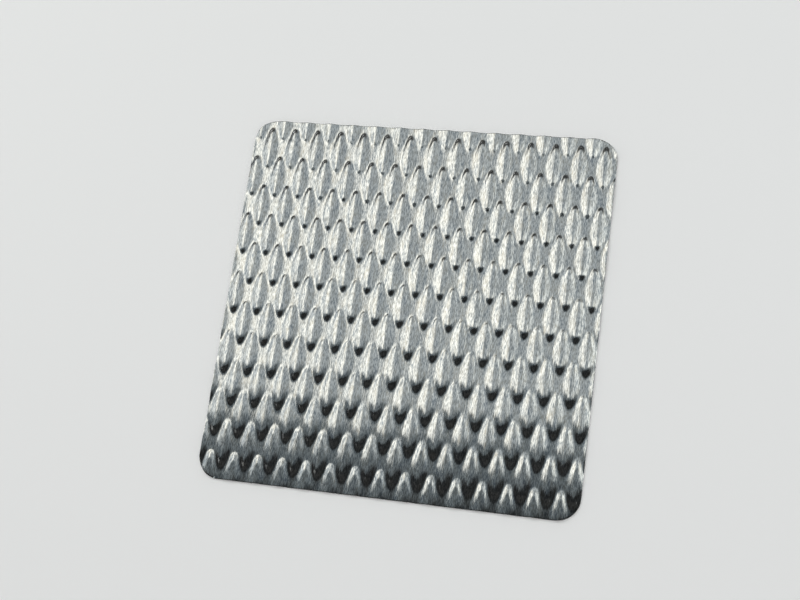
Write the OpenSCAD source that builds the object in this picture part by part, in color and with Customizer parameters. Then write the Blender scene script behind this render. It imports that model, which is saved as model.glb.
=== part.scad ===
// Square sample of stainless steel sheet, embossed all over with staggered rows of leaves.
// The sheet lies flat: its back rests on z = 0, the leaves stand up towards +Z, and their long axis runs along Y.
// Each leaf is pressed up out of the stock, so a hollow of the same form is left in the back.

/* [Sheet] */
// Width of the sheet, along X
sheet_w = 100; // [40:1:130]
// Depth of the sheet, along Y
sheet_d = 100; // [40:1:130]
// Thickness of the stock
stock_t = 0.8; // [0.5:0.1:1.2]
// Radius of the rounded corners
corner_r = 6; // [1:0.5:15]

/* [Leaf] */
// Length of a leaf from tip to tip, where it meets the land
leaf_l = 14; // [11:0.1:16]
// Width of a leaf at its middle, where it meets the land
leaf_w = 4.3; // [3.5:0.1:5.2]
// Width of the level crest at the middle of a leaf
crest_w = 1.3; // [0.7:0.1:1.6]
// Height of the crest above the land
leaf_h = 0.55; // [0.4:0.05:0.7]

/* [Pattern] */
// Distance between the leaves of a row
leaf_pitch = 6.58; // [5.5:0.01:9]
// Distance between one row and the next, which is set over by half a pitch
row_pitch = 8.26; // [6.9:0.01:12]
// Angle by which the columns of leaves lean from the sheet's side edges
column_lean = 0.9; // [-3:0.1:3]
// Place of the leaf nearest the middle of the sheet, along X
pattern_x = -1.8; // [-3:0.1:3]
// Place of the leaf nearest the middle of the sheet, along Y
pattern_y = 0.7; // [-4:0.1:4]

/* [Hidden] */
$fn = 128;

// Seen from above, each long side of a leaf is an arc on the land, with its centre beyond the other side.
half_l = leaf_l / 2;
half_w = leaf_w / 2;
side_r = (half_l * half_l + half_w * half_w) / leaf_w;

// The sides slope in from the land to the crest.
flank_angle = atan(leaf_h / (half_w - crest_w / 2));

// A sheet bent at the foot of a flank keeps its thickness, which sets the hollow's outline in by this much.
hollow_inset = stock_t * tan(flank_angle / 2);

// How far a leaf reaches down into the stock, and how far every cut runs past the face it opens.
leaf_root = stock_t / 4;
cut_past = 1;

// Rows and columns that are enough to pass every edge of the sheet.
row_count = ceil((sheet_d / 2 + half_l + abs(pattern_y)) / row_pitch);
leaf_count = ceil((sheet_w / 2 + half_w + abs(pattern_x) + row_count * row_pitch * abs(tan(column_lean)))
    / leaf_pitch);

// Cone that is radius wide at z = 0 and drafts one side of a leaf, from deep below it up to the crest.
module side_draft(radius, deep) {
    run = 1 / tan(flank_angle);
    translate([0, 0, -deep]) cylinder(r1 = radius + deep * run, r2 = radius - leaf_h * run, h = deep + leaf_h);
}

// Form of one leaf over z = 0, set in by inset and carried deep below it.
// The cones of its two sides meet in the sloping tips, and their level tops leave the crest.
module leaf_form(inset, deep) {
    intersection() {
        translate([half_w - side_r, 0, 0]) side_draft(side_r - inset, deep);
        translate([side_r - half_w, 0, 0]) side_draft(side_r - inset, deep);
    }
}

// Puts a copy of its children at the middle of each leaf of the pattern.
module at_leaves() {
    for (row = [-row_count : row_count]) {
        stagger = (abs(row) % 2) / 2;
        for (column = [-leaf_count : leaf_count]) {
            x = pattern_x + (column + stagger) * leaf_pitch - row * row_pitch * tan(column_lean);
            y = pattern_y + row * row_pitch;
            if (abs(x) < sheet_w / 2 + half_w && abs(y) < sheet_d / 2 + half_l)
                translate([x, y, 0]) rotate([0, 0, column_lean]) children();
        }
    }
}

// Outline of the sheet with its rounded corners.
module outline() {
    square([sheet_w - 2 * corner_r, sheet_d], center = true);
    square([sheet_w, sheet_d - 2 * corner_r], center = true);
    for (x = [-1, 1], y = [-1, 1])
        translate([x * (sheet_w / 2 - corner_r), y * (sheet_d / 2 - corner_r)]) circle(r = corner_r);
}

module embossed_sheet() {
    color("silver")
    difference() {
        intersection() {
            union() {
                translate([-sheet_w, -sheet_d, 0]) cube([2 * sheet_w, 2 * sheet_d, stock_t]);
                at_leaves() translate([0, 0, stock_t]) leaf_form(0, leaf_root);
            }
            translate([0, 0, -cut_past]) linear_extrude(stock_t + leaf_h + 2 * cut_past) outline();
        }
        at_leaves() leaf_form(hollow_inset, cut_past);
    }
}

embossed_sheet();
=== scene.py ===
# %% [markdown]
# # A sheet of embossed stainless steel
#
# The object is one piece of thin stainless steel sheet, about 100 mm square, with rows of long leaves
# pressed up out of it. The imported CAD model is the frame: it gives the outline, the thickness and the
# place of every leaf. In this lesson a finer skin is pressed over that frame, because a shiny sheet shows
# every small curve by what it reflects.

import math

import bpy
from mathutils import Matrix, Vector


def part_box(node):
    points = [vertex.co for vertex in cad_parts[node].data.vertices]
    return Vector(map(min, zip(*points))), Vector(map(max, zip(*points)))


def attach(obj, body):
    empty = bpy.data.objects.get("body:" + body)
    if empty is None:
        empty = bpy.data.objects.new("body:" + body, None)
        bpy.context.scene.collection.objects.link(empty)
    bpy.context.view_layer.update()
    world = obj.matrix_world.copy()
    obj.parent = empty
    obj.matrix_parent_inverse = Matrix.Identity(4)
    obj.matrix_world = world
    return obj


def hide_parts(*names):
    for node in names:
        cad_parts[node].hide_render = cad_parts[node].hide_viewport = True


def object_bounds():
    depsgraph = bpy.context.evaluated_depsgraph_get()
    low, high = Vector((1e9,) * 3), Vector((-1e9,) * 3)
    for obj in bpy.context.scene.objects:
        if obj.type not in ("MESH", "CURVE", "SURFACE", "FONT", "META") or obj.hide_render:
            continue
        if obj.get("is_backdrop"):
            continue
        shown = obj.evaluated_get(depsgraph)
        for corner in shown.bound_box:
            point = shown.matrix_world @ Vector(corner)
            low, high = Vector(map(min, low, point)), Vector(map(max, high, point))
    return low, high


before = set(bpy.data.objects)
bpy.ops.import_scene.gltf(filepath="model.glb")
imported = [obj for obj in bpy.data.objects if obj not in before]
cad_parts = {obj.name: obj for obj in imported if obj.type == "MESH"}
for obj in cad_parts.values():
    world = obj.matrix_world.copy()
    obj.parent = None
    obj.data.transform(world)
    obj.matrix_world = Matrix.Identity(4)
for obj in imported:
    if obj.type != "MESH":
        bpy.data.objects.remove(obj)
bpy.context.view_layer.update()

# %% [markdown]
# ## Sizes
#
# Blender works in metres here, and sheet metal is drawn in millimetres, so one constant turns one into
# the other. The pattern repeats the values that the CAD source has, because a leaf of the skin has to
# stand exactly on its leaf of the frame. The outline and the height are read from the frame itself.

# %% Sizes of the sheet and its pattern
MM = 0.001
CLOSE = 0.0001 * MM  # two points nearer than this are one point

sheet_low, sheet_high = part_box("embossed_sheet")
stock_t = 0.8 * MM
corner_r = 6 * MM
leaf_pitch = 6.58 * MM
row_pitch = 8.26 * MM
column_lean = math.radians(0.9)
pattern_place = Vector((-1.8 * MM, 0.7 * MM, 0))
land_z = sheet_low.z + stock_t
print("leaves rise", round((sheet_high.z - land_z) * 1000, 2), "mm above the land")

# %% [markdown]
# ## Helpers
#
# An operator acts on whatever is selected, so each step starts by selecting one object and nothing else.
# Points and faces are then selected in code, by their place. Modifiers are applied at once, as one does
# by hand when a form is settled.


# %% Helpers for selecting and applying
def only(obj):
    bpy.ops.object.select_all(action="DESELECT")
    obj.select_set(True)
    bpy.context.view_layer.objects.active = obj
    return obj


def edit(obj, select="SELECT"):
    only(obj)
    bpy.ops.object.mode_set(mode="EDIT")
    bpy.ops.mesh.select_all(action=select)


def done():
    bpy.ops.object.mode_set(mode="OBJECT")


def edit_part(obj, mode, wanted):
    """Edit mode with only those points, edges or faces selected whose middle wanted() is true for."""
    edit(obj, "DESELECT")
    bpy.ops.mesh.select_mode(type=mode)
    done()
    points = obj.data.vertices
    if mode == "VERT":
        parts, middles = points, [v.co for v in points]
    elif mode == "EDGE":
        parts = obj.data.edges
        middles = [(points[e.vertices[0]].co + points[e.vertices[1]].co) / 2 for e in parts]
    else:
        parts = obj.data.polygons
        middles = [face.center for face in parts]
    parts.foreach_set("select", [bool(wanted(middle)) for middle in middles])
    bpy.ops.object.mode_set(mode="EDIT")


def modify(obj, kind, **settings):
    only(obj)
    modifier = obj.modifiers.new(kind.title(), kind)
    for name, value in settings.items():
        setattr(modifier, name, value)
    bpy.ops.object.modifier_apply(modifier=modifier.name)


def copied(obj, name):
    twin = obj.copy()
    twin.data = obj.data.copy()
    twin.name = twin.data.name = name
    bpy.context.scene.collection.objects.link(twin)
    return twin


def triangles(obj):
    return sum(len(face.vertices) - 2 for face in obj.data.polygons)


# %% [markdown]
# ## One leaf of the roll
#
# The pattern is rolled into the sheet by a hard roll that carries leaf-shaped teeth. A tooth is widest a
# little below its middle and runs out in a long point at the top and a blunt one at the bottom. Its sharp
# ridge falls a little towards the long point. Its sides are nearly straight, like a roof, by the blunt end
# and grow rounder towards the long point.
#
# Such a form could be sculpted or cut from a cylinder, but here it is drawn like the hull of a boat, because
# each number then says one thing about the form. A small grid has its inner lines lifted. On each row of
# it, a station, the lines beside the ridge are set out and down to the side that the leaf has there, and
# the whole row is scaled to the leaf's width and height. A Subdivision Surface modifier fairs the hull, and
# a crease keeps the ridge sharp.

# %% Stations of one tooth
stations = (
    # place along the leaf, half the width there, the height of the ridge in mm, and the part of that height
    # that the side keeps at side_place: 0.4 is a straight side, and more is a rounder one
    (-6.3, 0.3, 0, 0.5), (-5.8, 0.55, 0.12, 0.45), (-5.35, 0.84, 0.32, 0.41), (-4.85, 1.18, 0.55, 0.39),
    (-3.4, 1.85, 0.56, 0.42), (-1.9, 2.22, 0.535, 0.48), (-0.3, 2.25, 0.505, 0.55), (1.8, 1.9, 0.46, 0.63),
    (3.5, 1.39, 0.435, 0.69), (4.7, 1.01, 0.445, 0.72), (5.3, 0.74, 0.35, 0.72), (5.8, 0.38, 0, 0.72))
side_place = 0.6
print(len(stations), "stations over", round(stations[-1][0] - stations[0][0], 1), "mm")

# %% Draw the tooth by its stations
# The grid's lines lie at 0, 0.5 and 1 to both sides of the ridge, and its rows are this far apart, so that
# each can be found by its place. A finished row is moved far off, where no later row finds it.
side_line = 0.5
apart = 10
far_off = 100 * apart
within = 0.01
gaps = len(stations) - 1

bpy.ops.object.select_all(action="DESELECT")
bpy.ops.mesh.primitive_grid_add(x_subdivisions=4, y_subdivisions=gaps, size=1)
tooth = bpy.context.active_object
tooth.name = "roll_tooth"
tooth.data.transform(Matrix.Diagonal((2, apart * gaps, 1, 1)))
edit_part(tooth, "VERT", lambda point: abs(point.x) < side_line + within)
bpy.ops.transform.translate(value=(0, 0, 1))
done()
for number, (along, half_width, height, kept) in enumerate(stations):
    row = apart * (number - gaps / 2)
    edit_part(tooth, "VERT", lambda point: abs(point.y - row) < within
              and abs(abs(point.x) - side_line) < within)
    bpy.ops.transform.resize(value=(side_place / side_line, 1, kept), center_override=(0, 0, 0))
    done()
    edit_part(tooth, "VERT", lambda point: abs(point.y - row) < within)
    bpy.ops.transform.resize(value=(half_width, 1, height), center_override=(0, row, 0))
    bpy.ops.transform.translate(value=(0, far_off + along - row, 0))
    done()
tooth.data.transform(Matrix.Diagonal((MM, MM, MM, 1)) @ Matrix.Translation((0, -far_off, 0)))
edit_part(tooth, "EDGE", lambda middle: abs(middle.x) < CLOSE)
bpy.ops.transform.edge_crease(value=1)
done()
modify(tooth, "SUBSURF", levels=2, render_levels=2)
print("tooth", [round(v * 1000, 2) for v in tooth.dimensions], "mm,", triangles(tooth), "triangles")

# %% [markdown]
# ## The roll laid flat
#
# The teeth stand in staggered rows, and the columns lean a little, because the sample was cut slightly
# askew. The tooth is turned by the lean, doubled for the row that is set over by half a pitch, and then
# two array modifiers repeat the pair across and along. A loop that places hundreds of copies would do as
# well, but two arrays say plainly what the pattern is.

# %% Array the teeth
columns, row_pairs = 19, 8  # enough to reach past every side of the sheet
row_shift = Vector((-row_pitch * math.tan(column_lean), row_pitch, 0))

tooth.data.transform(Matrix.Rotation(column_lean, 4, "Z"))
next_row = copied(tooth, "roll_tooth_next_row")
next_row.data.transform(Matrix.Translation(row_shift + Vector((leaf_pitch / 2, 0, 0))))
only(tooth)
next_row.select_set(True)
bpy.ops.object.join()
first = pattern_place - columns // 2 * Vector((leaf_pitch, 0, 0)) - row_pairs * row_shift
tooth.data.transform(Matrix.Translation(first + Vector((0, 0, land_z))))
modify(tooth, "ARRAY", count=columns, use_relative_offset=False, use_constant_offset=True,
       constant_offset_displace=(leaf_pitch, 0, 0))
modify(tooth, "ARRAY", count=row_pairs, use_relative_offset=False, use_constant_offset=True,
       constant_offset_displace=2 * row_shift)
roll = tooth
print("roll", [round(v * 1000, 1) for v in roll.dimensions], "mm")

# %% [markdown]
# ## Press a sheet over the roll
#
# A flat grid is laid at the height of the land and projected up onto the teeth by a Shrinkwrap modifier,
# as the sheet is pressed onto the roll. Real metal doesn't follow a sharp edge: it bends round it with a
# radius near its own thickness. A Smooth modifier that works on height alone gives that softness and
# leaves the outline of the grid as it is. The faces are longer than they are wide, as the leaves are, so
# the form is softened more along the leaves than across them. The grid has the rhythm of the pattern, so
# that every leaf gets the same faces and its ridge lies on a line of them.
#
# The back is a second, coarser pressing, set in by the thickness of the stock along its own normals, which
# is what keeps a bent sheet equally thick. A Solidify modifier would make it too, but as fine as the face,
# with twice the triangles and nothing more to see.


# %% Press the face and the back
def pressed(name, across, along, rounds):
    """A grid with that many faces to a leaf each way, pressed over the roll."""
    pitches, rows = 16, 13  # a little wider and deeper than the sheet
    bpy.ops.object.select_all(action="DESELECT")
    bpy.ops.mesh.primitive_grid_add(x_subdivisions=pitches * across, y_subdivisions=rows * along, size=1)
    sheet = bpy.context.active_object
    sheet.name = sheet.data.name = name
    sheet.data.transform(Matrix.Diagonal((pitches * leaf_pitch, rows * row_pitch, 1, 1)))
    lean = Matrix.Identity(4)
    lean[0][1] = -math.tan(column_lean)
    sheet.data.transform(Matrix.Translation(pattern_place + Vector((0, 0, land_z))) @ lean)
    modify(sheet, "SHRINKWRAP", target=roll, wrap_method="PROJECT", use_project_z=True)
    modify(sheet, "SMOOTH", factor=0.5, iterations=rounds, use_x=False, use_y=False)
    top = max(v.co.z for v in sheet.data.vertices)
    print(name, "rises", round((top - land_z) * 1000, 3), "mm with", len(sheet.data.polygons), "faces")
    return sheet


face = pressed("embossed_steel", across=20, along=18, rounds=5)
back = pressed("back", across=10, along=8, rounds=2)
edit(back)
bpy.ops.transform.shrink_fatten(value=-stock_t)
bpy.ops.mesh.flip_normals()
done()
bpy.data.objects.remove(roll)
print("back lies from", round(min(v.co.z for v in back.data.vertices) * 1000, 3), "mm")

# %% [markdown]
# ## Cut the outline
#
# The sample was cut out of a larger sheet, straight through the leaves. A boolean with a rounded block
# could cut it, but it is made for closed bodies, and this skin is still open. So each side is one cut of
# the bisect operator, which throws away what lies outside. A round corner is a row of short straight cuts.
# To keep that quick, the faces near the corners are first separated into an object of their own, and joined
# again after. A cut leaves slivers where it passes close to a line of the grid, so close points are merged,
# and the points of the edge are then set back on the outline.

# %% Helpers for cutting
half_w, half_d = sheet_high.x, sheet_high.y
sliver = 0.12 * MM


def slice_off(obj, place, normal):
    edit(obj)
    bpy.ops.mesh.bisect(plane_co=place, plane_no=normal, threshold=CLOSE, clear_outer=True)
    done()


def in_corner(point):
    return abs(point.x) > half_w - corner_r - MM and abs(point.y) > half_d - corner_r - MM


def outward(point):
    """How far a point lies outside the outline, and the direction straight out of it."""
    x, y = abs(point.x) - (half_w - corner_r), abs(point.y) - (half_d - corner_r)
    reach = math.hypot(x, y) if min(x, y) > 0 else max(x, y)
    way = Vector((x, y)) / reach if min(x, y) > 0 else Vector((1, 0)) if x > y else Vector((0, 1))
    return reach - corner_r, Vector((math.copysign(way.x, point.x), math.copysign(way.y, point.y), 0))


def trim(obj, corner_cuts):
    for x, y in ((1, 0), (-1, 0), (0, 1), (0, -1)):
        slice_off(obj, (x * half_w, y * half_d, 0), (x, y, 0))
    edit_part(obj, "FACE", in_corner)
    bpy.ops.mesh.separate(type="SELECTED")
    done()
    corners = next(o for o in bpy.context.selected_objects if o != obj)
    for x in (-1, 1):
        for y in (-1, 1):
            for step in range(1, corner_cuts):
                angle = math.radians(90) * step / corner_cuts
                normal = Vector((x * math.cos(angle), y * math.sin(angle), 0))
                middle = Vector((x * (half_w - corner_r), y * (half_d - corner_r), 0))
                slice_off(corners, middle + normal * corner_r, normal)
    only(obj)
    corners.select_set(True)
    bpy.ops.object.join()
    edit(obj)
    bpy.ops.mesh.remove_doubles(threshold=CLOSE)
    done()
    edit_part(obj, "VERT", lambda point: outward(point)[0] > -sliver)
    bpy.ops.mesh.remove_doubles(threshold=sliver)
    done()
    for v in obj.data.vertices:
        reach, way = outward(v.co)
        if reach > -sliver:
            v.co -= reach * way


# %% Cut the sides and corners
trim(face, corner_cuts=19)
trim(back, corner_cuts=9)
print("face", triangles(face), "and back", triangles(back), "triangles")

# %% [markdown]
# ## Close the edge
#
# The face and the back have the same outline, so a bridge between their open edges makes the wall that
# the cutter leaves. Bridged all round at once, the finer edge would run ahead of the coarser one. So the
# four sides are bridged one by one, each from the middle of one round corner to the middle of the next,
# where a cut of both edges ends. The cut edge is then broken by a small bevel, as it is on any sheet that
# is handled.

# %% Join the face and the back
edge_break = 0.05 * MM
cut_edge_angle = math.radians(50)
past_diagonal = 0.02 * MM  # an edge whose middle is nearer to a diagonal than this lies across it

only(face)
back.select_set(True)
bpy.ops.object.join()
sheet = face
points = sheet.data.vertices
for x, y in ((1, 0), (-1, 0), (0, 1), (0, -1)):
    edit(sheet, "DESELECT")
    bpy.ops.mesh.select_mode(type="EDGE")
    bpy.ops.mesh.select_non_manifold(extend=False, use_boundary=True, use_wire=False, use_multi_face=False,
                                     use_non_contiguous=False, use_verts=False)
    done()
    for line in sheet.data.edges:
        middle = (points[line.vertices[0]].co + points[line.vertices[1]].co) / 2
        outwards, sideways = x * middle.x + y * middle.y, y * middle.x + x * middle.y
        line.select = line.select and outwards > abs(sideways) + past_diagonal
    bpy.ops.object.mode_set(mode="EDIT")
    bpy.ops.mesh.bridge_edge_loops()
    done()
edit(sheet, "DESELECT")
bpy.ops.mesh.edges_select_sharp(sharpness=cut_edge_angle)
bpy.ops.mesh.bevel(offset=edge_break, segments=2, affect="EDGES", clamp_overlap=True)
done()
print("sheet", triangles(sheet), "triangles,", [round(v * 1000, 3) for v in sheet.dimensions], "mm")

# %% [markdown]
# ## Stainless steel
#
# The sheet is bright rolled stainless steel. It is grey with a faint warmth, and it mirrors its
# surroundings, though not cleanly: the rolls leave fine lines along the leaves, and stretching over the
# teeth turns the skin a little grainy. So the base colour is near that of steel, the roughness is low, and
# three noises drawn out along the leaves do the rest. Hairlines tilt the surface a little from side to
# side, through a bump. Broad stains lighten and darken the colour. Specks dull the surface, which is the
# real grain, and they also lighten its colour towards near white, which is painted glint: it stands in for
# the tiny highlights that the grainy skin would mirror.
#
# One small function adds any node with its settings and links. The colours are written as sRGB hex, as a
# picture program shows them, and another function turns them into the linear values of the shader.


# %% Helpers for materials
def linear(colour):
    """A colour written as sRGB hex, as the shader wants it."""
    parts = [int(colour[i:i + 2], 16) / 255 for i in (0, 2, 4)]
    return (*[p / 12.92 if p <= 0.04045 else ((p + 0.055) / 1.055) ** 2.4 for p in parts], 1)


def add(tree, kind, inputs=(), **settings):
    """Adds one node. Each of inputs is a value or the output of another node."""
    node = tree.nodes.new(kind)
    for name, value in settings.items():
        setattr(node, name, value)
    for socket, value in dict(inputs).items():
        if isinstance(value, bpy.types.NodeSocket):
            tree.links.new(value, node.inputs[socket])
        else:
            node.inputs[socket].default_value = value
    return node


# %% Patterns of the steel
steel = bpy.data.materials.new("bright_rolled_stainless_steel")
steel.use_nodes = True
tree = steel.node_tree
place = add(tree, "ShaderNodeTexCoord")
patterns = {}
for name, width, length, detail in (
        # Streaks that wide and long in mm. The real hairlines are a few hundredths of a millimetre wide, and
        # the real grains about a tenth. Both are too fine to show, so they are drawn coarser, the hairlines
        # about ten times.
        ("hairlines", 0.3, 4, 1),
        ("specks", 0.2, 1.1, 2),
        ("stains", 1.2, 4, 1)):
    drawn_out = add(tree, "ShaderNodeMapping", {
        "Vector": place.outputs["Object"], "Rotation": (0, 0, -column_lean),
        "Scale": (1 / (width * MM), 1 / (length * MM), 1 / (width * MM))})
    patterns[name] = add(tree, "ShaderNodeTexNoise", {
        "Vector": drawn_out.outputs[0], "Scale": 1, "Detail": detail, "Roughness": 0.55}).outputs[0]
print("patterns", ", ".join(patterns))

# %% Material of the sheet
hairline_depth = 0.04 * MM
bend_angle = math.radians(40)  # faces that meet at less than this are shaded as one smooth surface

shader = tree.nodes["Principled BSDF"]
shader.inputs["Metallic"].default_value = 1
tilt = add(tree, "ShaderNodeBump", {"Height": patterns["hairlines"], "Distance": hairline_depth})
tree.links.new(tilt.outputs[0], shader.inputs["Normal"])
# The specks lighten the base colour towards near white (F0F0ED): painted glints, standing in for the tiny
# highlights that the grainy skin would mirror. Their dulling of the roughness below is real grain.
painted_glint_mask = add(tree, "ShaderNodeMapRange", {"Value": patterns["specks"], "From Min": 0.42, "From Max": 0.58})
stain = add(tree, "ShaderNodeMapRange", {"Value": patterns["stains"], "From Min": 0.3, "From Max": 0.7})
metal = add(tree, "ShaderNodeMix", {0: stain.outputs[0], 6: linear("9DA4AA"), 7: linear("C4C0B7")},
            data_type="RGBA")
metal_with_painted_glints = add(tree, "ShaderNodeMix", {0: painted_glint_mask.outputs[0], 6: metal.outputs[2], 7: linear("F0F0ED")},
              data_type="RGBA")
tree.links.new(metal_with_painted_glints.outputs[2], shader.inputs["Base Color"])
dulled = add(tree, "ShaderNodeMapRange", {
    "Value": patterns["specks"], "From Min": 0.3, "From Max": 0.7, "To Min": 0.05, "To Max": 0.12})
tree.links.new(dulled.outputs[0], shader.inputs["Roughness"])
sheet.data.materials.clear()
sheet.data.materials.append(steel)
only(sheet)
bpy.ops.object.shade_smooth_by_angle(angle=bend_angle)
print(steel.name, "has", len(tree.nodes), "nodes")

# %% [markdown]
# ## Floor
#
# The sheet lies flat on plain pale paper, which catches its thin shadow. A rough, nearly white surface
# under an even light is all that this needs.

# %% Floor
floor_size = 3

bpy.ops.object.select_all(action="DESELECT")
bpy.ops.mesh.primitive_plane_add(size=floor_size, location=(0, 0, sheet_low.z))
floor = bpy.context.active_object
floor.name = "floor"
paper = bpy.data.materials.new("pale_paper")
paper.use_nodes = True
paper.node_tree.nodes["Principled BSDF"].inputs["Base Color"].default_value = linear("EDEDEC")
paper.node_tree.nodes["Principled BSDF"].inputs["Roughness"].default_value = 0.9
floor.data.materials.append(paper)
floor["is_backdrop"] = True
print("floor", floor_size, "m wide")

# %% [markdown]
# ## Light
#
# A mirror has no brightness of its own, so the light is designed as what the sheet sees. A large softbox
# hangs over it. It is cool and grey above the middle, brighter to both sides and a little warm on the left,
# and it ends close beyond the near edge of the sheet. Faces that look up mirror the cloth, and faces that
# tip towards the viewer mirror the dark room under its edge. That gives the dark tips of the leaves.
#
# The cloth's brightness comes from a few soft steps across it. Each step is measured along its own
# direction, so that an edge can lie a little askew. One could also hang several lamps, but each would show
# its own hard edges in every leaf.

# %% Softbox
panel_z = 305 * MM
left, right, near, far = -620 * MM, 450 * MM, -90 * MM, 400 * MM
bpy.ops.object.select_all(action="DESELECT")
bpy.ops.mesh.primitive_plane_add(size=1)
panel = bpy.context.active_object
panel.name = "softbox"
panel.data.transform(Matrix.Translation(((left + right) / 2, (near + far) / 2, panel_z))
                     @ Matrix.Diagonal((right - left, far - near, 1, 1)))
panel.visible_camera = panel.visible_shadow = False
panel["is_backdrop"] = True
print("softbox", [round((b - a) * 1000) for a, b in ((left, right), (near, far))], "mm, hung",
      round(panel_z * 1000), "mm up")

# %% Cloth of the softbox
cloth = bpy.data.materials.new("softbox_cloth")
cloth.use_nodes = True
tree = cloth.node_tree
tree.nodes.clear()
place = add(tree, "ShaderNodeTexCoord")
in_mm = add(tree, "ShaderNodeMapping", {
    "Vector": place.outputs["Object"], "Scale": (1 / MM, 1 / MM, 1 / MM)})
dark = (0.025, 0.027, 0.028, 1)
lit = (0.415, 0.455, 0.475, 1)
for direction, begin, end, colour in (
        # direction of the step, where it begins and ends in mm, and the brightness behind it
        ((1, 0, 0), -14, -215, (1.36, 1.36, 1.28, 1)),
        ((1, 0, 0), -225, -390, (0.66, 0.71, 0.73, 1)),
        ((1, -0.05, 0), 80, 250, (1.18, 1.22, 1.18, 1)),
        ((-0.05, 1, 0), 210, 325, (0.06, 0.062, 0.062, 1)),
        ((0.6, 1, 0), 290, 420, (0.06, 0.062, 0.062, 1)),
        ((-0.5, 1, 0), 440, 560, (0.07, 0.072, 0.072, 1)),
        ((0, 1, 0), 36, 4, (0.15, 0.175, 0.19, 1)),
        ((-0.05, 1, 0), 0, -30, dark)):
    measure = add(tree, "ShaderNodeVectorMath", {0: in_mm.outputs[0], 1: direction}, operation="DOT_PRODUCT")
    step = add(tree, "ShaderNodeMapRange", {
        "Value": measure.outputs["Value"], "From Min": begin, "From Max": end}, interpolation_type="SMOOTHSTEP")
    lit = add(tree, "ShaderNodeMix", {0: step.outputs[0], 6: lit, 7: colour}, data_type="RGBA").outputs[2]
light = add(tree, "ShaderNodeEmission", {"Color": lit})
add(tree, "ShaderNodeOutputMaterial", {"Surface": light.outputs[0]})
panel.data.materials.append(cloth)
print(cloth.name, "has", len(tree.nodes), "nodes")

# %% [markdown]
# ## Lamp and room
#
# An overhead lamp lights the floor evenly. It is kept out of the reflections, because its square would show
# in every leaf. The room is the world of the scene. It is dark overhead and light on its walls, up to half
# way to the zenith, so a sheet that is looked at from any side mirrors something pale. The height on the
# wall is measured along a direction that leans a little, which keeps the wall on the left lower, where the
# dark tips of the leaves mirror it.

# %% Overhead lamp and room
lamp_height, lamp_size, lamp_power = 1.5, 1.5, 16.5
room_up = (-0.15, 0, 1)

lamp = bpy.data.lights.new("overhead", "AREA")
lamp.shape, lamp.size, lamp.size_y, lamp.energy = "RECTANGLE", lamp_size, lamp_size, lamp_power
overhead = bpy.data.objects.new("overhead", lamp)
overhead.location = (0, 0, lamp_height)
overhead.visible_glossy = False
bpy.context.scene.collection.objects.link(overhead)

room = bpy.data.worlds.new("studio")
room.use_nodes = True
tree = room.node_tree
sky = add(tree, "ShaderNodeTexCoord")
up = add(tree, "ShaderNodeVectorMath", {0: sky.outputs["Generated"], 1: room_up}, operation="DOT_PRODUCT")
low = add(tree, "ShaderNodeMapRange", {"Value": up.outputs["Value"], "From Min": 0.75, "From Max": 0.5},
          interpolation_type="SMOOTHSTEP")
walls = add(tree, "ShaderNodeMix", {0: low.outputs[0], 6: (0.035, 0.036, 0.036, 1), 7: (0.6, 0.61, 0.62, 1)},
            data_type="RGBA")
tree.links.new(walls.outputs[2], tree.nodes["Background"].inputs["Color"])
bpy.context.scene.world = room
bpy.context.scene.view_settings.view_transform = "Standard"
print("lamp of", lamp.energy, "W, room", room.name)

# %% [markdown]
# ## Camera
#
# The photo looks down on the sheet from a little to the right and in front. A camera could be moved by eye
# until the two pictures agree, but the place, the turn and the lens were worked out from the straight edges
# of the sheet and the regular rows of leaves, whose sizes are known from the CAD.

# %% Camera
view = bpy.data.cameras.new("camera")
view.sensor_width = 36
view.lens = 59.18
camera = bpy.data.objects.new("camera", view)
camera.location = (77.34 * MM, -77.72 * MM, 326.16 * MM + land_z)
camera.rotation_euler = [math.radians(a) for a in (15.172, 11.716, 8.167)]
bpy.context.scene.collection.objects.link(camera)
bpy.context.scene.camera = camera
print("camera", round(camera.location.length * 1000), "mm from the middle of the sheet")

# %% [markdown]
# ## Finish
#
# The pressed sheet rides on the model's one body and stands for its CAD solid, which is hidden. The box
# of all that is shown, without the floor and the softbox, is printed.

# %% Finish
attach(sheet, "root")
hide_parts("embossed_sheet")
low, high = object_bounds()
print("visual box", [round(v * 1000, 2) for v in (*low, *high)])
